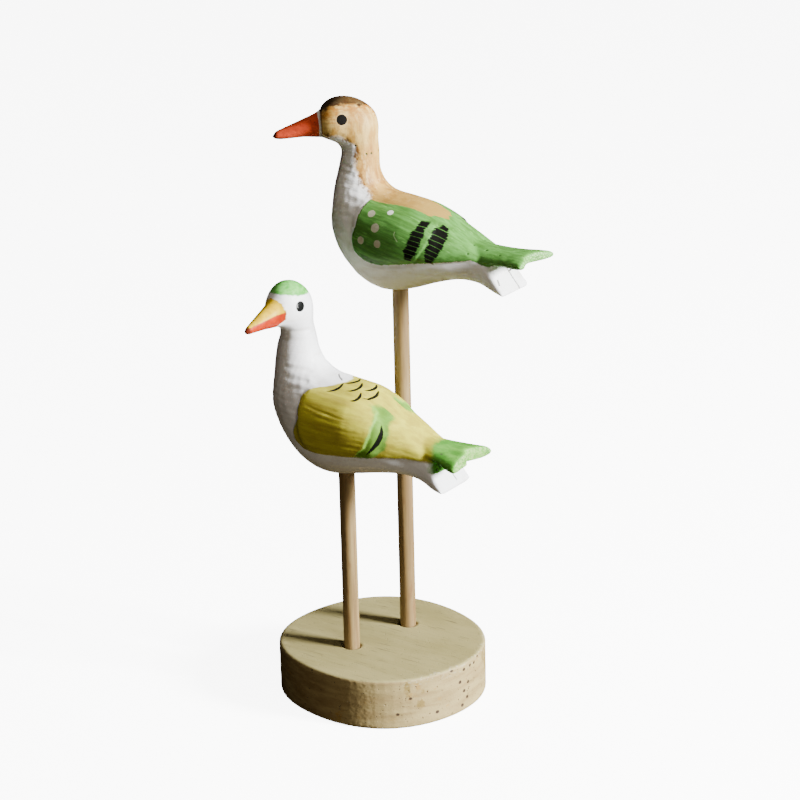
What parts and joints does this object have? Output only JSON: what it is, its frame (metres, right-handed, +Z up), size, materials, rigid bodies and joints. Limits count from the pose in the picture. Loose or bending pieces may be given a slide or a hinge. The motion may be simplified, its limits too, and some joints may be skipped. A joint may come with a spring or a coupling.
{
  "type": "wooden bird figurine",
  "caption": "Carved and painted wooden sea birds with folded wings and forked wing tips, each held up on a dowel over a sawn wooden disc.",
  "frame": {"origin": "centre of the disc's flat underside", "axes": "+Z up along the dowels; the birds' bodies face -X and their tails point to +X; -Y is the side of the shorter dowel"},
  "size_m": [0.1053, 0.0807, 0.2336],
  "materials": {
    "upper_bird_paint": "brushed satin paint on carved wood",
    "lower_bird_paint": "brushed satin paint on carved wood",
    "dowel_wood": "bare wood, lightly stained",
    "disc_paint": "worn matt cream paint on sawn wood"
  },
  "bodies": {
    "root": {"disc": "disc_paint", "dowel_tall": "dowel_wood", "dowel_short": "dowel_wood", "bird_upper": "upper_bird_paint", "bird_lower": "lower_bird_paint"}
  },
  "joints": []
}
